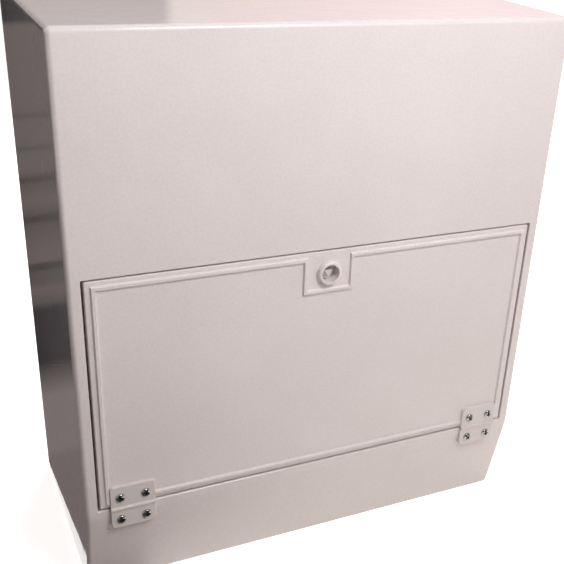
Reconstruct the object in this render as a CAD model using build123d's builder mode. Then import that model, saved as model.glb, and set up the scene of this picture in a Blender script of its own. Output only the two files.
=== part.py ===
from build123d import *
import os
from math import sqrt

# Gas meter box: a moulded shell for a wall, with a drop-down door in the lower half of its front.
# All sizes are in millimetres. X runs to the right, Y to the wall, Z up.
# The origin is on the floor, under the middle of the whole box.

# Shell
FRONT_WIDTH = 500.0
FRONT_HEIGHT = 572.0
DEPTH = 248.0
SIDE_DRAFT = 10.0        # each side stands this much further out at the wall
ROOF_RISE = 10.0         # the roof is this much higher at the wall
WALL = 4.0
EDGE_RADIUS = 5.0
CREASE_HEIGHT = 103.0    # where the front starts to lean back
CREASE_RADIUS = 40.0
APRON_SETBACK = 21.0     # how far back the foot of the front is

# Doorway in the front, with a rebate that the door drops into
DOORWAY_WIDTH = 476.0
DOORWAY_HEIGHT = 249.0
DOORWAY_BOTTOM = 110.5
DOORWAY_RADIUS = 1.5
REBATE_DEPTH = 17.0
REBATE_WALL = 3.0
LIP_WIDTH = 10.0
LIP_THICKNESS = 3.5
ARRIS_RADIUS = 1.0       # softened edges of the doorway and the door
NEAR = 0.01              # how near an edge has to be to the place it is picked by

# Door
DOOR_GAP = 2.5           # at the sides and the bottom
DOOR_GAP_TOP = 1.6
DOOR_RADIUS = 1.5
DOOR_SKIN = 3.5
DOOR_FLANGE = 3.0
DOOR_SEAT_GAP = 0.3      # between the door's flange and the lip
DOOR_RIB_COUNT = 4       # upright ribs behind the skin, and one across them
DOOR_RIB_PITCH = 90.0
DOOR_RIB_THICKNESS = 2.5
DOOR_RIB_DEPTH = 12.0
BEAD_WIDTH = 5.0
BEAD_HEIGHT = 2.4
BEAD_SLOPE = 25.0        # degrees that each side of the bead leans in
BEAD_INSET_SIDE = 7.5
BEAD_INSET_END = 6.8
TAB_WIDTH = 50.0         # width of the bead's dip round the lock
TAB_DROP = 41.4          # its depth below the door's top edge

# Lock
LOCK_DROP = 22.4         # axis below the door's top edge
BOSS_RADIUS = 12.4
BOSS_PROUD = 5.5
BOSS_EDGE = 2.4
BARREL_RADIUS = 10.7
RECESS_RADIUS = 9.2
RECESS_DEPTH = 14.0
KEY_DISC_THICKNESS = 2.5
KEY_DISC_GAP = 0.2       # between the key's disc and the floor and wall of the recess
KEY_SIDE = 9.0           # side of the three-sided key post
KEY_SUNK = 5.5           # its end below the face of the boss
JOURNAL_RADIUS = 5.0
RUNNING_GAP = 0.05
PUSH_GAP = 0.15
SQUARE_SIDE = 6.8
LOCK_NUT_FLATS = 26.0
LOCK_NUT_THICKNESS = 5.0
LOCK_PAD_RADIUS = 18.0   # raised pad behind the door's skin that the nut bears on
LOCK_PAD_DEPTH = 1.5
CAM_GAP = 0.4            # between the lip and the cam
CAM_THICKNESS = 2.5
CAM_REACH = 27.0
CAM_WIDTH = 16.0
CAM_CORNER = 3.0
CAM_SCREW_RADIUS = 2.0
CAM_SCREW_LENGTH = 9.0
CAM_SCREW_HEAD_RADIUS = 5.5
CAM_SCREW_HEAD_HEIGHT = 2.2

# Hinges
HINGE_OFFSET = 203.5     # middle of each hinge from the middle of the box
HINGE_WIDTH = 45.0
LEAF_HEIGHT = 26.0       # of the upper leaf, from the axis
LOWER_LEAF_HEIGHT = 23.0
LEAF_THICKNESS = 3.5
LEAF_RADIUS = 4.0
LEAF_ARRIS = 0.8
LEAF_GAP = 0.4           # each leaf stops this far from the line of the axis
AXIS_PROUD = 3.0         # hinge axis in front of the door's face
KNUCKLE_RADIUS = 2.4
KNUCKLE_GAP = 0.3
KNUCKLE_MIDDLE = 16.0
PIN_RADIUS = 1.1
PIN_END_GAP = 0.5
HINGE_SCREW_SPACING = 25.2
HINGE_SCREW_RISE = 13.0  # screws from the axis, up and down
PAD_HEIGHT = 22.0        # moulded pad behind each lower leaf
PAD_BACK = 10.0          # its back face behind the front
SCREW_RADIUS = 2.5
SCREW_HEAD_RADIUS = 4.8
SCREW_HEAD_HEIGHT = 2.8
SCREW_HOLE_GAP = 0.2
NUT_FLATS = 8.0
NUT_THICKNESS = 4.0
NUT_BORE_GAP = 0.1
THREAD_END = 1.5         # a screw's end stands this far out of its nut
HEAD_SHOULDER_OUT = 0.72 # shoulder of a domed head, as a share of its radius
HEAD_SHOULDER_UP = 0.8   # and of its height

# Back panel
PANEL_RECESS = 12.0      # space between the panel and the wall
PANEL_THICKNESS = 4.0
PANEL_FIT = 0.5
PANEL_RADIUS = 4.0
LUG_WIDTH = 24.0
LUG_HEIGHT = 20.0
LUG_DEPTH = 26.0
LUG_SINK = 2.0           # the lugs run this far into the side wall
LUG_COUNT = 3            # lugs up each side
LUG_LOW = 40.0           # middle of the lowest lug above the floor
LUG_DROP = 32.0          # middle of the highest lug below the top of the front
LUG_SCREW_INSET = 12.0
PANEL_SCREW_RADIUS = 2.1
PANEL_SCREW_LENGTH = 18.0
PANEL_SCREW_HEAD_RADIUS = 4.2
PANEL_SCREW_HEAD_HEIGHT = 2.6
PANEL_SCREW_TIP_GAP = 1.0
FIXING_SPACING_X = 360.0
FIXING_SPACING_Z = 400.0
FIXING_HEIGHT = 300.0    # middle of the four wall fixings
FIXING_HOLE_RADIUS = 4.5
STANDOFF_RADIUS = 14.0

# Meter bracket
BRACKET_WIDTH = 260.0
BRACKET_HEIGHT = 50.0
BRACKET_REACH = 70.0
BRACKET_THICKNESS = 3.0
BRACKET_TOP = 452.0
BRACKET_BEND = 3.0       # inside radius of its bends
BRACKET_LIP = 14.0       # depth of its turned-down front edge
UNION_SPACING = 110.0
UNION_RADIUS = 17.0
UNION_REACH = 40.0       # axis of the meter's unions in front of the panel
BRACKET_BOLT_SPACING = 200.0
BRACKET_BOLT_DROP = 30.0
BRACKET_SLOT_LENGTH = 18.0
BOLT_RADIUS = 3.0
BOLT_HOLE_GAP = 0.3
BOLT_FLATS = 10.0
BOLT_HEAD_HEIGHT = 4.0
BOLT_NUT_THICKNESS = 5.0

# Outlet, service entry and air slots
OUTLET_X = 150.0
OUTLET_HEIGHT = 200.0
OUTLET_BORE_RADIUS = 11.2
BUSH_RADIUS = 15.0
BUSH_FLANGE_RADIUS = 22.0
BUSH_FLANGE_THICKNESS = 3.0
ENTRY_X = -150.0
ENTRY_WIDTH = 60.0
ENTRY_DEPTH = 80.0
VENT_COUNT = 7
VENT_PITCH = 16.0
VENT_LENGTH = 60.0
VENT_WIDTH = 6.0
VENT_X = 60.0
VENT_Y = -20.0

# Places that follow from the sizes
PROUD = LEAF_THICKNESS + SCREW_HEAD_HEIGHT
FRONT_Y = PROUD - (DEPTH + PROUD) / 2
BACK_Y = FRONT_Y + DEPTH
ROOF_HEIGHT = FRONT_HEIGHT + ROOF_RISE
DOORWAY_TOP = DOORWAY_BOTTOM + DOORWAY_HEIGHT
DOORWAY_MIDDLE = DOORWAY_BOTTOM + DOORWAY_HEIGHT / 2
LIP_BACK_Y = FRONT_Y + REBATE_DEPTH + LIP_THICKNESS
DOOR_WIDTH = DOORWAY_WIDTH - 2 * DOOR_GAP
DOOR_HEIGHT = DOORWAY_HEIGHT - DOOR_GAP - DOOR_GAP_TOP
DOOR_DEPTH = REBATE_DEPTH - DOOR_SEAT_GAP
DOOR_TOP = DOORWAY_TOP - DOOR_GAP_TOP
DOOR_MIDDLE = DOOR_TOP - DOOR_HEIGHT / 2
LOCK_HEIGHT = DOOR_TOP - LOCK_DROP
CAM_FRONT_Y = LIP_BACK_Y + CAM_GAP
CAM_BACK_Y = CAM_FRONT_Y + CAM_THICKNESS
BOSS_FRONT_Y = FRONT_Y - BOSS_PROUD
RECESS_FLOOR_Y = BOSS_FRONT_Y + RECESS_DEPTH
AXIS_Y = FRONT_Y - AXIS_PROUD
AXIS_Z = DOORWAY_BOTTOM + DOOR_GAP / 2
LEAF_FRONT_Y = FRONT_Y - LEAF_THICKNESS
PANEL_BACK_Y = BACK_Y - PANEL_RECESS
PANEL_FRONT_Y = PANEL_BACK_Y - PANEL_THICKNESS
HINGE_SIDES = {"left": -1, "right": 1}


def upright(y):
    """Upright plane at depth y as seen from the front: local x is X, local y is Z."""
    return Plane(origin=(0, y, 0), x_dir=(1, 0, 0), z_dir=(0, -1, 0))


def wallward(y):
    """Upright plane at depth y that faces the wall: local x is X, local y is -Z."""
    return Plane(origin=(0, y, 0), x_dir=(1, 0, 0), z_dir=(0, 1, 0))


def half_width(y):
    """Outer half width of the shell at depth y."""
    return FRONT_WIDTH / 2 + SIDE_DRAFT * (y - FRONT_Y) / DEPTH


def roof_height(y):
    """Outer height of the roof at depth y."""
    return FRONT_HEIGHT + ROOF_RISE * (y - FRONT_Y) / DEPTH


def apron_y(z):
    """Depth of the shell's front surface at height z, with the crease taken as sharp."""
    return FRONT_Y + APRON_SETBACK * max(0.0, CREASE_HEIGHT - z) / CREASE_HEIGHT


def hinge_screw_places(rise):
    """Places of the screws of both hinges in the row at a height from the axis."""
    return [
        (side * HINGE_OFFSET + step * HINGE_SCREW_SPACING / 2, AXIS_Z + rise)
        for side in HINGE_SIDES.values()
        for step in (-1, 1)
    ]


def lug_places(x):
    """Places of the shell's lugs, x to each side and evenly spaced in height."""
    step = (FRONT_HEIGHT - LUG_DROP - LUG_LOW) / (LUG_COUNT - 1)
    return [(side * x, LUG_LOW + step * row) for side in (-1, 1) for row in range(LUG_COUNT)]


def lug_screw_places():
    """Places of the screws that hold the back panel to the shell's lugs."""
    return lug_places(half_width(PANEL_FRONT_Y) - WALL - LUG_SCREW_INSET)


def bolt_places():
    """Places of the bolts that hold the meter bracket to the back panel."""
    return [(side * BRACKET_BOLT_SPACING / 2, BRACKET_TOP - BRACKET_BOLT_DROP) for side in (-1, 1)]


def bead_outline(inset):
    """Corners of the bead's line, moved in from its middle line by inset."""
    side = DOOR_WIDTH / 2 - BEAD_INSET_SIDE - inset
    top = DOOR_TOP - BEAD_INSET_END - inset
    bottom = DOORWAY_BOTTOM + DOOR_GAP + BEAD_INSET_END + inset
    tab = TAB_WIDTH / 2 + inset
    dip = DOOR_TOP - TAB_DROP - inset
    return [
        (-side, bottom),
        (-side, top),
        (-tab, top),
        (-tab, dip),
        (tab, dip),
        (tab, top),
        (side, top),
        (side, bottom),
    ]


# The shell is one moulding, open at the wall, with walls of one thickness.
with BuildPart() as box_shell:
    with BuildSketch(Plane.YZ):
        with BuildLine():
            Polyline(
                (BACK_Y, 0),
                (FRONT_Y + APRON_SETBACK, 0),
                (FRONT_Y, CREASE_HEIGHT),
                (FRONT_Y, FRONT_HEIGHT),
                (BACK_Y, ROOF_HEIGHT),
                close=True,
            )
        make_face()
    extrude(amount=half_width(BACK_Y), both=True)
    with BuildSketch(Plane.XY):
        with BuildLine():
            Polyline(
                (-half_width(FRONT_Y), FRONT_Y),
                (half_width(FRONT_Y), FRONT_Y),
                (half_width(BACK_Y), BACK_Y),
                (-half_width(BACK_Y), BACK_Y),
                close=True,
            )
        make_face()
    extrude(amount=ROOF_HEIGHT, mode=Mode.INTERSECT)
    across = box_shell.edges().filter_by(Axis.X)
    crease = across.filter_by_position(Axis.Z, CREASE_HEIGHT - NEAR, CREASE_HEIGHT + NEAR)
    fillet(crease, CREASE_RADIUS)
    ahead = box_shell.edges().filter_by(lambda e: e.center().Y < BACK_Y - NEAR)
    sides = ahead.filter_by(lambda e: abs(e.center().X) > NEAR)
    across = ahead.filter_by(Axis.X)
    ends = across.filter_by(lambda e: not NEAR < e.center().Z < FRONT_HEIGHT - NEAR)
    fillet(sides + ends, EDGE_RADIUS)
    offset(amount=-WALL, openings=box_shell.faces().sort_by(Axis.Y)[-1])
    # Rebate and lip round the doorway
    with BuildSketch(upright(FRONT_Y + WALL / 2)):
        with Locations((0, DOORWAY_MIDDLE)):
            RectangleRounded(
                DOORWAY_WIDTH + 2 * REBATE_WALL,
                DOORWAY_HEIGHT + 2 * REBATE_WALL,
                DOORWAY_RADIUS + REBATE_WALL,
            )
    extrude(amount=FRONT_Y + WALL / 2 - LIP_BACK_Y)
    with BuildSketch(upright(FRONT_Y)):
        with Locations((0, DOORWAY_MIDDLE)):
            RectangleRounded(DOORWAY_WIDTH, DOORWAY_HEIGHT, DOORWAY_RADIUS)
    extrude(amount=-REBATE_DEPTH, mode=Mode.SUBTRACT)
    with BuildSketch(upright(FRONT_Y)):
        with Locations((0, DOORWAY_MIDDLE)):
            RectangleRounded(
                DOORWAY_WIDTH - 2 * LIP_WIDTH, DOORWAY_HEIGHT - 2 * LIP_WIDTH, DOORWAY_RADIUS
            )
    extrude(amount=FRONT_Y - LIP_BACK_Y, mode=Mode.SUBTRACT)
    # Pads behind the lower leaves of the hinges, with upright backs for the nuts
    for side in HINGE_SIDES.values():
        with BuildSketch(Plane.YZ.offset(side * HINGE_OFFSET)):
            low = AXIS_Z - HINGE_SCREW_RISE - PAD_HEIGHT / 2
            high = low + PAD_HEIGHT
            with BuildLine():
                Polyline(
                    (FRONT_Y + PAD_BACK, low),
                    (apron_y(low) + WALL / 2, low),
                    (apron_y(CREASE_HEIGHT) + WALL / 2, CREASE_HEIGHT),
                    (apron_y(high) + WALL / 2, high),
                    (FRONT_Y + PAD_BACK, high),
                    close=True,
                )
            make_face()
        extrude(amount=HINGE_WIDTH / 2, both=True)
    with BuildSketch(upright(FRONT_Y + PAD_BACK)):
        with Locations(*hinge_screw_places(-HINGE_SCREW_RISE)):
            Circle(SCREW_RADIUS + SCREW_HOLE_GAP)
    extrude(amount=PAD_BACK, mode=Mode.SUBTRACT)
    # Lugs inside the sides, for the screws of the back panel
    with BuildSketch(upright(PANEL_FRONT_Y)):
        lug_side = half_width(PANEL_FRONT_Y - LUG_DEPTH) - WALL + LUG_SINK
        with Locations(*lug_places(lug_side - LUG_WIDTH / 2)):
            Rectangle(LUG_WIDTH, LUG_HEIGHT)
    extrude(amount=LUG_DEPTH)
    with BuildSketch(upright(PANEL_FRONT_Y)):
        with Locations(*lug_screw_places()):
            Circle(PANEL_SCREW_RADIUS + RUNNING_GAP)
    extrude(amount=PANEL_SCREW_LENGTH, mode=Mode.SUBTRACT)
    # Notch for the service pipe and slots for air, in the base
    with BuildSketch(Plane.XY):
        with Locations((ENTRY_X, BACK_Y)):
            SlotOverall(2 * ENTRY_DEPTH, ENTRY_WIDTH, rotation=90)
        with Locations((VENT_X, VENT_Y)):
            with GridLocations(VENT_PITCH, 1, VENT_COUNT, 1):
                SlotOverall(VENT_LENGTH, VENT_WIDTH, rotation=90)
    extrude(amount=WALL, mode=Mode.SUBTRACT)
    # Softened edge of the doorway
    mouth = box_shell.edges().filter_by_position(Axis.Y, FRONT_Y - NEAR, FRONT_Y + NEAR)
    mouth = mouth.filter_by_position(Axis.X, -DOORWAY_WIDTH / 2, DOORWAY_WIDTH / 2)
    mouth = mouth.filter_by_position(Axis.Z, DOORWAY_BOTTOM, DOORWAY_TOP)
    fillet(mouth, ARRIS_RADIUS)
box_shell.part.label = "box_shell"

# The door is a tray: a flat skin with a flange all round that closes on the lip.
with BuildPart() as door_panel:
    with BuildSketch(upright(FRONT_Y)):
        with Locations((0, DOOR_MIDDLE)):
            RectangleRounded(DOOR_WIDTH, DOOR_HEIGHT, DOOR_RADIUS)
    extrude(amount=-DOOR_DEPTH)
    with BuildSketch(upright(FRONT_Y + DOOR_SKIN)):
        with Locations((0, DOOR_MIDDLE)):
            Rectangle(DOOR_WIDTH - 2 * DOOR_FLANGE, DOOR_HEIGHT - 2 * DOOR_FLANGE)
    extrude(amount=DOOR_SKIN - DOOR_DEPTH, mode=Mode.SUBTRACT)
    rim = door_panel.edges().filter_by_position(Axis.Y, FRONT_Y - NEAR, FRONT_Y + NEAR)
    fillet(rim, ARRIS_RADIUS)
    # Ribs behind the skin from flange to flange, and a pad that the lock's nut bears on
    with BuildSketch(upright(FRONT_Y + DOOR_SKIN)):
        with Locations((0, DOOR_MIDDLE)):
            with GridLocations(DOOR_RIB_PITCH, 1, DOOR_RIB_COUNT, 1):
                Rectangle(DOOR_RIB_THICKNESS, DOOR_HEIGHT - DOOR_FLANGE)
            Rectangle(DOOR_WIDTH - DOOR_FLANGE, DOOR_RIB_THICKNESS)
    extrude(amount=-DOOR_RIB_DEPTH)
    with BuildSketch(upright(FRONT_Y + DOOR_SKIN)):
        with Locations((0, LOCK_HEIGHT)):
            Circle(LOCK_PAD_RADIUS)
    extrude(amount=-LOCK_PAD_DEPTH)
    # Raised bead, parallel to the edge, that dips round the lock
    with BuildSketch(upright(FRONT_Y)):
        with BuildLine():
            Polyline(*bead_outline(-BEAD_WIDTH / 2), close=True)
        make_face()
        with BuildLine():
            Polyline(*bead_outline(BEAD_WIDTH / 2), close=True)
        make_face(mode=Mode.SUBTRACT)
    extrude(amount=BEAD_HEIGHT, taper=BEAD_SLOPE)
    # The bead stops at the upper leaves of the hinges
    with BuildSketch(upright(FRONT_Y)):
        with Locations(*[(side * HINGE_OFFSET, AXIS_Z) for side in HINGE_SIDES.values()]):
            Rectangle(HINGE_WIDTH + 2 * LEAF_GAP, 2 * (LEAF_HEIGHT + LEAF_GAP))
    extrude(amount=BEAD_HEIGHT, mode=Mode.SUBTRACT)
    # Holes for the lock and for the screws of the upper leaves
    with BuildSketch(upright(FRONT_Y)):
        with Locations((0, LOCK_HEIGHT)):
            Circle(BARREL_RADIUS + PUSH_GAP)
        with Locations(*hinge_screw_places(HINGE_SCREW_RISE)):
            Circle(SCREW_RADIUS + SCREW_HOLE_GAP)
    extrude(amount=-DOOR_SKIN - LOCK_PAD_DEPTH, mode=Mode.SUBTRACT)
door_panel.part.label = "door_panel"

# The lock barrel has a round boss in front, a deep recess for the key and a nut behind.
with BuildPart() as lock_barrel:
    with BuildSketch(upright(FRONT_Y)):
        with Locations((0, LOCK_HEIGHT)):
            Circle(BOSS_RADIUS)
    extrude(amount=BOSS_PROUD)
    fillet(lock_barrel.edges().sort_by(Axis.Y)[0], BOSS_EDGE)
    with BuildSketch(upright(FRONT_Y)):
        with Locations((0, LOCK_HEIGHT)):
            Circle(BARREL_RADIUS)
    extrude(amount=FRONT_Y - LIP_BACK_Y)
    with BuildSketch(upright(BOSS_FRONT_Y)):
        with Locations((0, LOCK_HEIGHT)):
            Circle(RECESS_RADIUS)
    extrude(amount=-RECESS_DEPTH, mode=Mode.SUBTRACT)
    with BuildSketch(upright(LIP_BACK_Y)):
        with Locations((0, LOCK_HEIGHT)):
            Circle(JOURNAL_RADIUS + RUNNING_GAP)
    extrude(amount=LIP_BACK_Y - RECESS_FLOOR_Y, mode=Mode.SUBTRACT)
lock_barrel.part.label = "lock_barrel"

with BuildPart() as lock_nut:
    with BuildSketch(upright(FRONT_Y + DOOR_SKIN + LOCK_PAD_DEPTH)):
        with Locations((0, LOCK_HEIGHT)):
            RegularPolygon(LOCK_NUT_FLATS / 2, 6, major_radius=False)
            Circle(BARREL_RADIUS + NUT_BORE_GAP, mode=Mode.SUBTRACT)
    extrude(amount=-LOCK_NUT_THICKNESS)
lock_nut.part.label = "lock_nut"

# The key post turns in the barrel: three-sided in front, round in the barrel, square in the cam.
with BuildPart() as lock_key_post:
    disc_back = RECESS_FLOOR_Y - KEY_DISC_GAP
    with BuildSketch(upright(disc_back)):
        with Locations((0, LOCK_HEIGHT)):
            Circle(RECESS_RADIUS - KEY_DISC_GAP)
    extrude(amount=KEY_DISC_THICKNESS)
    with BuildSketch(upright(disc_back - KEY_DISC_THICKNESS)):
        with Locations((0, LOCK_HEIGHT)):
            RegularPolygon(KEY_SIDE / sqrt(3), 3, rotation=-90)
    extrude(amount=disc_back - KEY_DISC_THICKNESS - BOSS_FRONT_Y - KEY_SUNK)
    with BuildSketch(upright(disc_back)):
        with Locations((0, LOCK_HEIGHT)):
            Circle(JOURNAL_RADIUS)
    extrude(amount=disc_back - CAM_FRONT_Y)
    with BuildSketch(upright(CAM_FRONT_Y)):
        with Locations((0, LOCK_HEIGHT)):
            Rectangle(SQUARE_SIDE, SQUARE_SIDE)
    extrude(amount=-CAM_THICKNESS + PUSH_GAP)
    with BuildSketch(upright(CAM_BACK_Y)):
        with Locations((0, LOCK_HEIGHT)):
            Circle(CAM_SCREW_RADIUS + NUT_BORE_GAP)
    extrude(amount=CAM_SCREW_LENGTH + NUT_BORE_GAP, mode=Mode.SUBTRACT)
lock_key_post.part.label = "lock_key_post"

# The cam points sideways when the lock is open, and up behind the lip when it is locked.
with BuildPart() as lock_cam:
    with BuildSketch(upright(CAM_FRONT_Y)):
        with Locations((0, LOCK_HEIGHT)):
            Circle(CAM_WIDTH / 2)
        with Locations((-CAM_REACH / 2, LOCK_HEIGHT)):
            Rectangle(CAM_REACH, CAM_WIDTH)
    extrude(amount=-CAM_THICKNESS)
    fillet(lock_cam.edges().filter_by(Axis.Y).group_by(Axis.X)[0], CAM_CORNER)
    with BuildSketch(upright(CAM_FRONT_Y)):
        with Locations((0, LOCK_HEIGHT)):
            Rectangle(SQUARE_SIDE + 2 * PUSH_GAP, SQUARE_SIDE + 2 * PUSH_GAP)
    extrude(amount=-CAM_THICKNESS, mode=Mode.SUBTRACT)
lock_cam.part.label = "lock_cam"


def pan_screw(name, places, seat_y, length, radius, head_radius, head_height, back=False):
    """Group of screws with domed heads: heads at seat_y in front, or behind where back is set."""
    with BuildPart() as screw:
        with BuildSketch(Plane.XZ):
            with BuildLine():
                Polyline((0, -length), (radius, -length), (radius, 0), (head_radius, 0))
                Spline(
                    (head_radius, 0),
                    (head_radius * HEAD_SHOULDER_OUT, head_height * HEAD_SHOULDER_UP),
                    (0, head_height),
                    tangents=((0, 1), (-1, 0)),
                )
                Line((0, head_height), (0, -length))
            make_face()
        revolve(axis=Axis.Z)
    with BuildPart(wallward(seat_y) if back else upright(seat_y)) as group:
        with Locations(*[(x, -z if back else z) for x, z in places]):
            add(screw.part)
    group.part.label = name
    return group.part


def hex_nuts(name, places, seat_y, flats, thickness, bore_radius):
    """Group of hexagon nuts whose front faces lie at seat_y."""
    with BuildPart() as group:
        with BuildSketch(upright(seat_y)):
            with Locations(*places):
                RegularPolygon(flats / 2, 6, major_radius=False)
                Circle(bore_radius, mode=Mode.SUBTRACT)
        extrude(amount=-thickness)
    group.part.label = name
    return group.part


def knuckle(middle):
    """Cylinders along X of one leaf's knuckles: the middle one, or the two outer ones."""
    outer = (HINGE_WIDTH - KNUCKLE_MIDDLE) / 2 - KNUCKLE_GAP
    if middle:
        return [(0, KNUCKLE_MIDDLE)]
    return [(side * (HINGE_WIDTH - outer) / 2, outer) for side in (-1, 1)]


def add_knuckles(centre_x, own, other):
    """Clear the space of the other leaf's knuckles, then add the leaf's own, bored for the pin."""
    for x, length in other:
        with Locations((centre_x + x, AXIS_Y, AXIS_Z)):
            Cylinder(
                KNUCKLE_RADIUS + KNUCKLE_GAP,
                length + 2 * KNUCKLE_GAP,
                rotation=(0, 90, 0),
                mode=Mode.SUBTRACT,
            )
    for x, length in own:
        with Locations((centre_x + x, AXIS_Y, AXIS_Z)):
            Cylinder(KNUCKLE_RADIUS, length, rotation=(0, 90, 0))
    with Locations((centre_x, AXIS_Y, AXIS_Z)):
        Cylinder(PIN_RADIUS + RUNNING_GAP, HINGE_WIDTH, rotation=(0, 90, 0), mode=Mode.SUBTRACT)


def hinge(side_name, side):
    """Upper leaf on the door, lower leaf on the shell and the pin of one hinge."""
    centre_x = side * HINGE_OFFSET
    with BuildPart() as door_leaf:
        with BuildSketch(upright(FRONT_Y)):
            with Locations((centre_x, AXIS_Z + (LEAF_HEIGHT + LEAF_GAP) / 2)):
                Rectangle(HINGE_WIDTH, LEAF_HEIGHT - LEAF_GAP)
        extrude(amount=LEAF_THICKNESS)
        fillet(door_leaf.edges().filter_by(Axis.Y).group_by(Axis.Z)[-1], LEAF_RADIUS)
        fillet(door_leaf.faces().sort_by(Axis.Y)[0].edges(), LEAF_ARRIS)
        add_knuckles(centre_x, knuckle(True), knuckle(False))
        with BuildSketch(upright(FRONT_Y)):
            with Locations(*hinge_screw_places(HINGE_SCREW_RISE)):
                Circle(SCREW_RADIUS + SCREW_HOLE_GAP)
        extrude(amount=LEAF_THICKNESS, mode=Mode.SUBTRACT)
    # The lower leaf's front stays in line with the upper one, and its back follows the apron.
    with BuildPart() as box_leaf:
        with BuildSketch(Plane.YZ.offset(centre_x)) as section:
            high = AXIS_Z - LEAF_GAP
            low = AXIS_Z - LOWER_LEAF_HEIGHT
            with BuildLine():
                Polyline(
                    (LEAF_FRONT_Y, high),
                    (FRONT_Y, high),
                    (FRONT_Y, CREASE_HEIGHT),
                    (apron_y(low), low),
                    (LEAF_FRONT_Y, low),
                    close=True,
                )
            make_face()
            bend = section.vertices().filter_by(lambda v: abs(v.X - FRONT_Y) < NEAR)
            fillet(bend.sort_by(Axis.Y)[0], CREASE_RADIUS)
        extrude(amount=HINGE_WIDTH / 2, both=True)
        fillet(box_leaf.edges().filter_by(Axis.Y).group_by(Axis.Z)[0], LEAF_RADIUS)
        fillet(box_leaf.faces().sort_by(Axis.Y)[0].edges(), LEAF_ARRIS)
        add_knuckles(centre_x, knuckle(False), knuckle(True))
        with BuildSketch(upright(FRONT_Y + PAD_BACK)):
            with Locations(*hinge_screw_places(-HINGE_SCREW_RISE)):
                Circle(SCREW_RADIUS + SCREW_HOLE_GAP)
        extrude(amount=PAD_BACK + LEAF_THICKNESS, mode=Mode.SUBTRACT)
    with BuildPart() as pin:
        with Locations((centre_x, AXIS_Y, AXIS_Z)):
            Cylinder(PIN_RADIUS, HINGE_WIDTH - 2 * PIN_END_GAP, rotation=(0, 90, 0))
    pieces = {"door_leaf": door_leaf.part, "box_leaf": box_leaf.part, "pin": pin.part}
    for piece, solid in pieces.items():
        solid.label = f"hinge_{side_name}_{piece}"
    return list(pieces.values())


# The back panel stands off the wall on four bosses, which take the wall fixings.
with BuildPart() as back_panel:
    low = WALL + PANEL_FIT
    high = roof_height(PANEL_FRONT_Y) - WALL - PANEL_FIT
    with BuildSketch(upright(PANEL_BACK_Y)):
        with Locations((0, (low + high) / 2)):
            RectangleRounded(
                2 * (half_width(PANEL_FRONT_Y) - WALL - PANEL_FIT), high - low, PANEL_RADIUS
            )
    extrude(amount=PANEL_THICKNESS)
    with BuildSketch(upright(PANEL_BACK_Y)):
        with Locations((0, FIXING_HEIGHT)):
            with GridLocations(FIXING_SPACING_X, FIXING_SPACING_Z, 2, 2):
                Circle(STANDOFF_RADIUS)
    extrude(amount=-PANEL_RECESS)
    with BuildSketch(upright(BACK_Y)):
        with Locations((0, FIXING_HEIGHT)):
            with GridLocations(FIXING_SPACING_X, FIXING_SPACING_Z, 2, 2):
                Circle(FIXING_HOLE_RADIUS)
        with Locations(*lug_screw_places()):
            Circle(PANEL_SCREW_RADIUS + SCREW_HOLE_GAP)
        with Locations(*bolt_places()):
            Circle(BOLT_RADIUS + BOLT_HOLE_GAP)
        with Locations((OUTLET_X, OUTLET_HEIGHT)):
            Circle(BUSH_RADIUS + PUSH_GAP)
    extrude(amount=PANEL_RECESS + PANEL_THICKNESS, mode=Mode.SUBTRACT)
back_panel.part.label = "back_panel"

with BuildPart() as outlet_bush:
    with BuildSketch(upright(PANEL_FRONT_Y)):
        with Locations((OUTLET_X, OUTLET_HEIGHT)):
            Circle(BUSH_FLANGE_RADIUS)
    extrude(amount=BUSH_FLANGE_THICKNESS)
    with BuildSketch(upright(PANEL_FRONT_Y)):
        with Locations((OUTLET_X, OUTLET_HEIGHT)):
            Circle(BUSH_RADIUS)
    extrude(amount=PANEL_FRONT_Y - BACK_Y)
    with BuildSketch(upright(BACK_Y)):
        with Locations((OUTLET_X, OUTLET_HEIGHT)):
            Circle(OUTLET_BORE_RADIUS)
    extrude(
        amount=BACK_Y - PANEL_FRONT_Y + BUSH_FLANGE_THICKNESS, mode=Mode.SUBTRACT
    )
outlet_bush.part.label = "outlet_bush"

# The meter bracket is one strip of steel, bent at the panel and again along its front edge,
# with two notches for the meter's unions.
with BuildPart() as meter_bracket:
    with BuildLine(Plane.YZ.offset(-BRACKET_WIDTH / 2)) as strip:
        FilletPolyline(
            (PANEL_FRONT_Y, BRACKET_TOP - BRACKET_HEIGHT),
            (PANEL_FRONT_Y, BRACKET_TOP),
            (PANEL_FRONT_Y - BRACKET_REACH, BRACKET_TOP),
            (PANEL_FRONT_Y - BRACKET_REACH, BRACKET_TOP - BRACKET_LIP),
            radius=BRACKET_BEND + BRACKET_THICKNESS,
        )
    make_brake_formed(BRACKET_THICKNESS, BRACKET_WIDTH, strip.wires()[0], side=Side.RIGHT)
    with BuildSketch(Plane.XY.offset(BRACKET_TOP)):
        union_y = PANEL_FRONT_Y - UNION_REACH
        front_y = PANEL_FRONT_Y - BRACKET_REACH
        with Locations((0, union_y)):
            with GridLocations(UNION_SPACING, 1, 2, 1):
                Circle(UNION_RADIUS)
        with Locations((0, (union_y + front_y) / 2)):
            with GridLocations(UNION_SPACING, 1, 2, 1):
                Rectangle(2 * UNION_RADIUS, union_y - front_y)
    extrude(amount=-BRACKET_LIP, mode=Mode.SUBTRACT)
    with BuildSketch(upright(PANEL_FRONT_Y)):
        with Locations(*bolt_places()):
            SlotOverall(BRACKET_SLOT_LENGTH, 2 * (BOLT_RADIUS + BOLT_HOLE_GAP))
    extrude(amount=BRACKET_THICKNESS, mode=Mode.SUBTRACT)
meter_bracket.part.label = "meter_bracket"

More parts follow.
